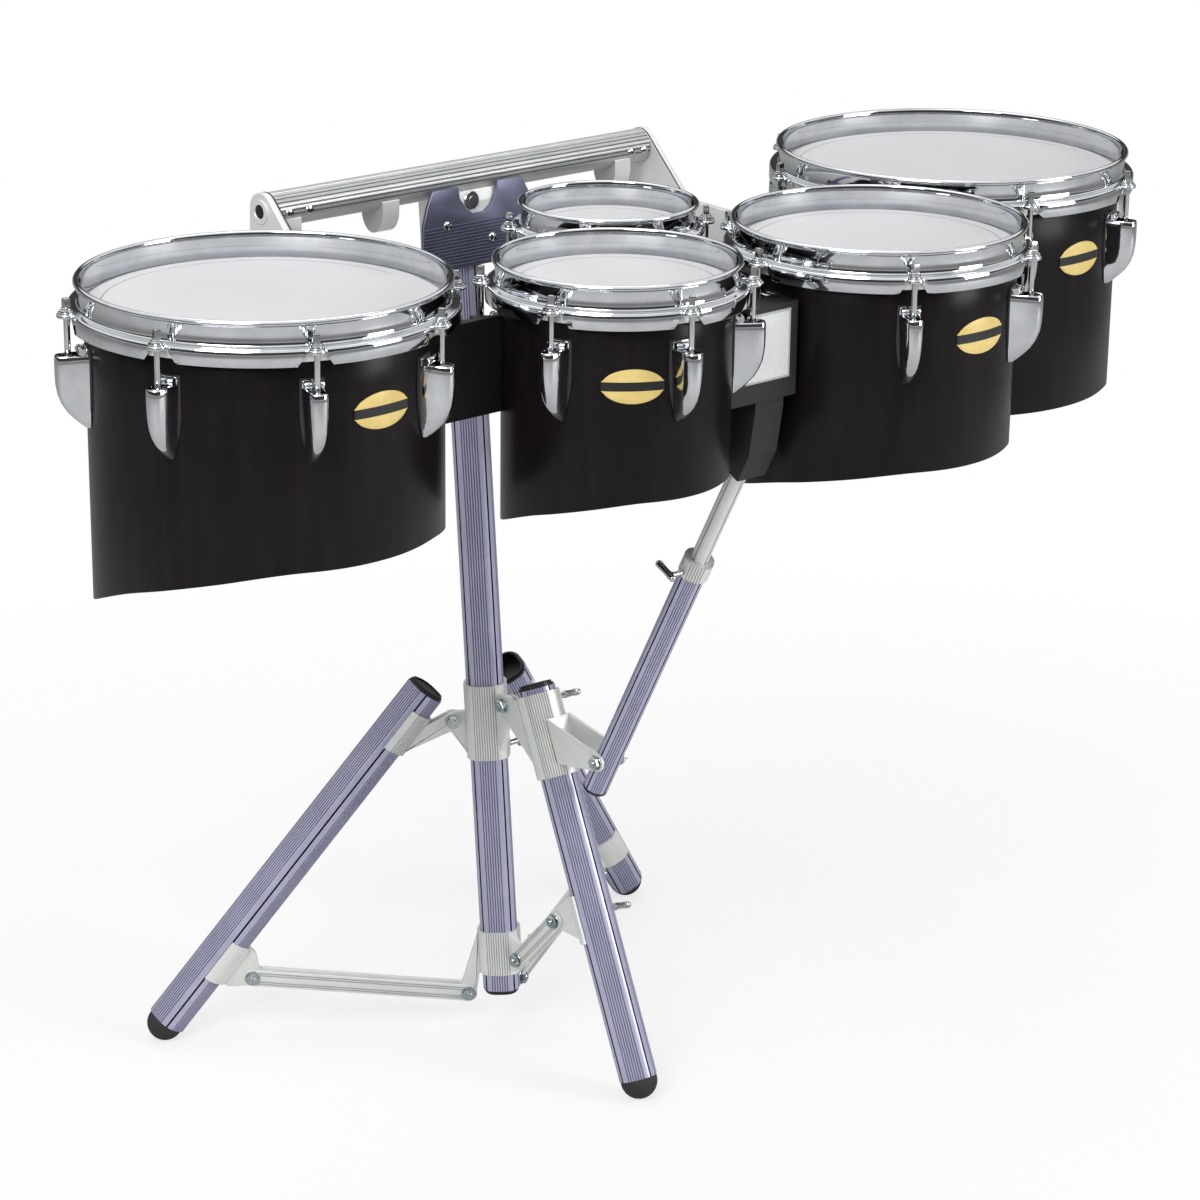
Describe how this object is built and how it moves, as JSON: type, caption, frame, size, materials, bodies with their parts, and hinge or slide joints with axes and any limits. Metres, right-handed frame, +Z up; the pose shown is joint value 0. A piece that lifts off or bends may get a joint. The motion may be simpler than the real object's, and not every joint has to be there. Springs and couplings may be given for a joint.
{
  "type": "marching tenor drums on stand",
  "caption": "Marching tenor drums: chrome-hooped shells with slanted open bottoms, hung from a rail on a folding ribbed-aluminium tripod stand with a prop strut.",
  "frame": {"origin": "centre of the bounding box's bottom, on the floor", "axes": "+X towards the largest drum, on the player's right; +Y towards the player; +Z up"},
  "size_m": [1.1858, 0.6914, 0.8793],
  "materials": {
    "drum_12_shell": "stained maple, semi-gloss black",
    "drum_12_head": "coated film",
    "drum_12_hoop": "polished",
    "drum_8_shell": "stained maple, semi-gloss black",
    "drum_8_head": "coated film",
    "drum_8_hoop": "polished",
    "drum_6_shell": "stained maple, semi-gloss black",
    "drum_6_head": "coated film",
    "drum_6_hoop": "polished",
    "drum_10_shell": "stained maple, semi-gloss black",
    "drum_10_head": "coated film",
    "drum_10_hoop": "polished",
    "drum_13_shell": "stained maple, semi-gloss black",
    "drum_13_head": "coated film",
    "drum_13_hoop": "polished",
    "spine_left": "black powder coat",
    "label_box": "black powder coat",
    "spine_right": "black powder coat",
    "centre_spine": "black powder coat",
    "rail": "silver anodised, ribbed",
    "rail_end_left": "silver anodised, ribbed",
    "rail_plug_left": "moulded",
    "rail_end_right": "silver anodised, ribbed",
    "rail_plug_right": "moulded",
    "arm_left": "silver anodised, ribbed",
    "arm_right": "silver anodised, ribbed",
    "mast": "lilac anodised, ribbed",
    "mast_cap": "moulded black",
    "leg_left": "lilac anodised, ribbed",
    "leg_cap_left": "moulded black",
    "foot_left": "moulded",
    "sleeve_left": "silver anodised, ribbed",
    "bracket_left": "silver anodised, ribbed",
    "brace_left": "silver anodised, ribbed",
    "leg_near": "lilac anodised, ribbed",
    "leg_cap_near": "moulded black",
    "foot_near": "moulded",
    "sleeve_near": "silver anodised, ribbed",
    "bracket_near": "silver anodised, ribbed",
    "brace_near": "silver anodised, ribbed",
    "strut_bracket": "silver anodised, ribbed",
    "lever_near_sleeve": "polished",
    "lever_near_bracket": "polished",
    "strut_outer": "lilac anodised, ribbed",
    "strut_inner": "silver anodised, ribbed",
    "strut_collar": "silver anodised, ribbed",
    "lever_strut": "polished",
    "leg_back": "lilac anodised, ribbed",
    "leg_cap_back": "moulded black",
    "foot_back": "moulded",
    "sleeve_back": "silver anodised, ribbed",
    "bracket_back": "silver anodised, ribbed",
    "brace_back": "silver anodised, ribbed",
    "hub": "silver anodised, ribbed",
    "collar": "silver anodised, ribbed",
    "hook_plate": "lilac anodised, ribbed",
    "hook_saddle": "silver anodised, ribbed",
    "lever_hub": "polished",
    "lever_collar": "polished",
    "strut_elbow": "moulded"
  },
  "bodies": {
    "tripod_hub": {"hub": "hub"},
    "lower_collar": {"collar": "collar"},
    "mast": {"mast": "mast", "mast_cap": "mast_cap", "hook_plate": "hook_plate", "hook_saddle": "hook_saddle"},
    "drum_set": {"drum_12_shell": "drum_12_shell", "drum_12_head": "drum_12_head", "drum_12_hoop": "drum_12_hoop", "drum_8_shell": "drum_8_shell", "drum_8_head": "drum_8_head", "drum_8_hoop": "drum_8_hoop", "drum_6_shell": "drum_6_shell", "drum_6_head": "drum_6_head", "drum_6_hoop": "drum_6_hoop", "drum_10_shell": "drum_10_shell", "drum_10_head": "drum_10_head", "drum_10_hoop": "drum_10_hoop", "drum_13_shell": "drum_13_shell", "drum_13_head": "drum_13_head", "drum_13_hoop": "drum_13_hoop", "spine_left": "spine_left", "label_box": "label_box", "spine_right": "spine_right", "centre_spine": "centre_spine", "rail": "rail", "rail_end_left": "rail_end_left", "rail_plug_left": "rail_plug_left", "arm_left": "arm_left", "rail_end_right": "rail_end_right", "rail_plug_right": "rail_plug_right", "arm_right": "arm_right"},
    "leg_left": {"leg_left": "leg_left", "leg_cap_left": "leg_cap_left", "foot_left": "foot_left", "sleeve_left": "sleeve_left", "bracket_left": "bracket_left"},
    "leg_back": {"leg_back": "leg_back", "leg_cap_back": "leg_cap_back", "foot_back": "foot_back", "sleeve_back": "sleeve_back", "bracket_back": "bracket_back"},
    "near_sleeve": {"sleeve_near": "sleeve_near", "strut_bracket": "strut_bracket"},
    "leg_near": {"leg_near": "leg_near", "leg_cap_near": "leg_cap_near", "foot_near": "foot_near"},
    "near_bracket": {"bracket_near": "bracket_near"},
    "brace_left": {"brace_left": "brace_left"},
    "brace_back": {"brace_back": "brace_back"},
    "brace_near": {"brace_near": "brace_near"},
    "strut_outer": {"strut_outer": "strut_outer", "strut_collar": "strut_collar"},
    "strut_inner": {"strut_inner": "strut_inner", "strut_elbow": "strut_elbow"},
    "lever_hub": {"lever_hub": "lever_hub"},
    "lever_collar": {"lever_collar": "lever_collar"},
    "lever_near_sleeve": {"lever_near_sleeve": "lever_near_sleeve"},
    "lever_near_bracket": {"lever_near_bracket": "lever_near_bracket"},
    "lever_strut": {"lever_strut": "lever_strut"}
  },
  "joints": [
    {"name": "tripod_fold", "type": "slide", "parent": "tripod_hub", "child": "lower_collar", "axis": [0, -0.0857, -0.9963], "range_m": [0, 0.15]},
    {"name": "height_slide", "type": "slide", "parent": "lower_collar", "child": "mast", "axis": [0, 0.0857, 0.9963], "range_m": [0, 0.03]},
    {"name": "drum_tilt", "type": "hinge", "parent": "mast", "child": "drum_set", "pos_m": [-0.02263, 0.19878, 0.862], "axis": [-1, 0, 0], "range_deg": [0, 8]},
    {"name": "leg_left_fold", "type": "hinge", "parent": "tripod_hub", "child": "leg_left", "pos_m": [-0.05417, 0.17483, 0.32562], "axis": [-0.5878, -0.806, 0.0693], "range_deg": [0, 10.6]},
    {"name": "brace_left_fold", "type": "hinge", "parent": "lower_collar", "child": "brace_left", "pos_m": [-0.05417, 0.15032, 0.04067], "axis": [0.5878, 0.806, -0.0693], "range_deg": [0, 32.91]},
    {"name": "leg_back_fold", "type": "hinge", "parent": "tripod_hub", "child": "leg_back", "pos_m": [0.00336, 0.17082, 0.32596], "axis": [-0.4695, 0.8797, -0.0757], "range_deg": [0, 8.91]},
    {"name": "brace_back_fold", "type": "hinge", "parent": "lower_collar", "child": "brace_back", "pos_m": [0.00336, 0.14631, 0.04101], "axis": [0.4695, -0.8797, 0.0757], "range_deg": [0, 30.01]},
    {"name": "leg_near_fold", "type": "hinge", "parent": "tripod_hub", "child": "near_sleeve", "pos_m": [-0.02666, 0.12276, 0.35017], "axis": [1, 0, 0], "range_deg": [0, 9.75]},
    {"name": "leg_near_extend", "type": "slide", "parent": "near_sleeve", "child": "leg_near", "axis": [0, -0.3962, -0.9182], "range_m": [0, 0.03]},
    {"name": "near_bracket_slide", "type": "slide", "parent": "near_sleeve", "child": "near_bracket", "axis": [0, -0.3962, -0.9182], "range_m": [0, 0.1344]},
    {"name": "brace_near_fold", "type": "hinge", "parent": "lower_collar", "child": "brace_near", "pos_m": [-0.02666, 0.10005, 0.08614], "axis": [-1, 0, 0], "range_deg": [0, 10.75]},
    {"name": "strut_fold", "type": "hinge", "parent": "near_sleeve", "child": "strut_outer", "pos_m": [-0.02666, -0.0245, 0.33703], "axis": [1, 0, 0], "range_deg": [0, 35.2]},
    {"name": "strut_extend", "type": "slide", "parent": "strut_outer", "child": "strut_inner", "axis": [0, -0.4599, 0.888], "range_m": [0, 0.0545]},
    {"name": "lever_hub_turn", "type": "hinge", "parent": "tripod_hub", "child": "lever_hub", "pos_m": [-0.00726, 0.14438, 0.29813], "axis": [1, 0, 0], "range_deg": [0, 180]},
    {"name": "lever_collar_turn", "type": "hinge", "parent": "lower_collar", "child": "lever_collar", "pos_m": [-0.00726, 0.12501, 0.07296], "axis": [1, 0, 0], "range_deg": [0, 180]},
    {"name": "lever_near_sleeve_turn", "type": "hinge", "parent": "near_sleeve", "child": "lever_near_sleeve", "pos_m": [-0.00726, 0.07526, 0.36631], "axis": [1, 0, 0], "range_deg": [0, 180]},
    {"name": "lever_near_bracket_turn", "type": "hinge", "parent": "near_bracket", "child": "lever_near_bracket", "pos_m": [-0.00726, -0.00193, 0.16719], "axis": [1, 0, 0], "range_deg": [0, 180]},
    {"name": "lever_strut_turn", "type": "hinge", "parent": "strut_outer", "child": "lever_strut", "pos_m": [-0.04206, -0.13856, 0.55725], "axis": [-1, 0, 0], "range_deg": [0, 180]}
  ],
  "couplings": [
    {"joint": "leg_left_fold", "follows": "tripod_fold", "rad_per_m": 1.2103},
    {"joint": "brace_left_fold", "follows": "tripod_fold", "rad_per_m": 3.8058},
    {"joint": "leg_back_fold", "follows": "tripod_fold", "rad_per_m": 1.0131},
    {"joint": "brace_back_fold", "follows": "tripod_fold", "rad_per_m": 3.4685},
    {"joint": "leg_near_fold", "follows": "tripod_fold", "rad_per_m": 1.1117},
    {"joint": "near_bracket_slide", "follows": "tripod_fold", "ratio": 0.89284},
    {"joint": "brace_near_fold", "follows": "tripod_fold", "rad_per_m": 1.2272},
    {"joint": "strut_fold", "follows": "tripod_fold", "rad_per_m": 4.0724},
    {"joint": "strut_extend", "follows": "drum_tilt", "m_per_rad": 0.38675}
  ]
}
